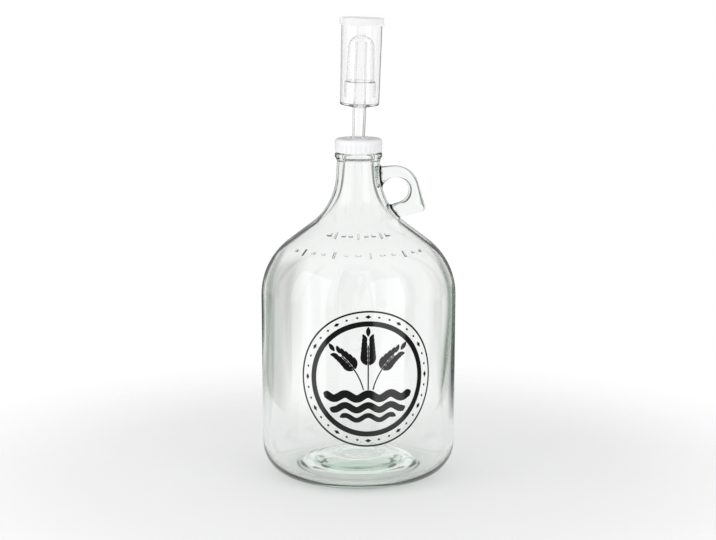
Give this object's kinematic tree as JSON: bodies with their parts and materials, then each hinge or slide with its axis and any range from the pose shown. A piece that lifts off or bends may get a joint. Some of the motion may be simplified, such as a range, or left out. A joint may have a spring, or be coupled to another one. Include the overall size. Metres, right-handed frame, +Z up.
{
  "type": "fermentation jar with airlock",
  "caption": "Clear glass fermentation jug with a finger ring, a ribbed white screw cap and a clear airlock with an inner bell and a vented lid.",
  "frame": {"origin": "on the surface that the jug stands on, on the jug's upright axis", "axes": "+Z up along the jug's axis, +X towards the finger ring"},
  "size_m": [0.1658, 0.1658, 0.3906],
  "materials": {
    "jug_glass": "polished, clear with a faint green tint in thick glass, black print on the front",
    "liner_foam": "white closed-cell foam",
    "grommet_rubber": "soft translucent white",
    "cap_plastic": "white, satin, fine moulded ribs",
    "airlock_plastic": "clear moulded plastic",
    "bell_plastic": "clear moulded plastic, slightly hazy",
    "lid_plastic": "translucent, frosted"
  },
  "bodies": {
    "jug": {"glass_jug": "jug_glass"},
    "liner": {"cap_liner": "liner_foam"},
    "seal": {"grommet": "grommet_rubber"},
    "cap": {"screw_cap": "cap_plastic"},
    "airlock": {"airlock_body": "airlock_plastic"},
    "bell": {"airlock_bell": "bell_plastic"},
    "lid": {"airlock_lid": "lid_plastic"}
  },
  "joints": [
    {"name": "cap_lift_off", "type": "slide", "parent": "jug", "child": "liner", "axis": [0, 0, 1], "range_m": [0, 0.045]},
    {"name": "cap_rise", "type": "slide", "parent": "liner", "child": "seal", "axis": [0, 0, 1], "range_m": [0, 0.0053]},
    {"name": "cap_turn", "type": "hinge", "parent": "seal", "child": "cap", "pos_m": [0, 0, 0.2882], "axis": [0, 0, 1], "range_deg": [0, 450]},
    {"name": "airlock_pull", "type": "slide", "parent": "seal", "child": "airlock", "axis": [0.0297, 0, 0.9996], "range_m": [0, 0.022]},
    {"name": "bell_float", "type": "slide", "parent": "airlock", "child": "bell", "axis": [0.0297, 0, 0.9996], "range_m": [0, 0.0115]},
    {"name": "lid_lift", "type": "slide", "parent": "airlock", "child": "lid", "axis": [0.0297, 0, 0.9996], "range_m": [0, 0.012]}
  ],
  "couplings": [
    {"joint": "cap_rise", "follows": "cap_turn", "m_per_rad": 0.00067375}
  ]
}
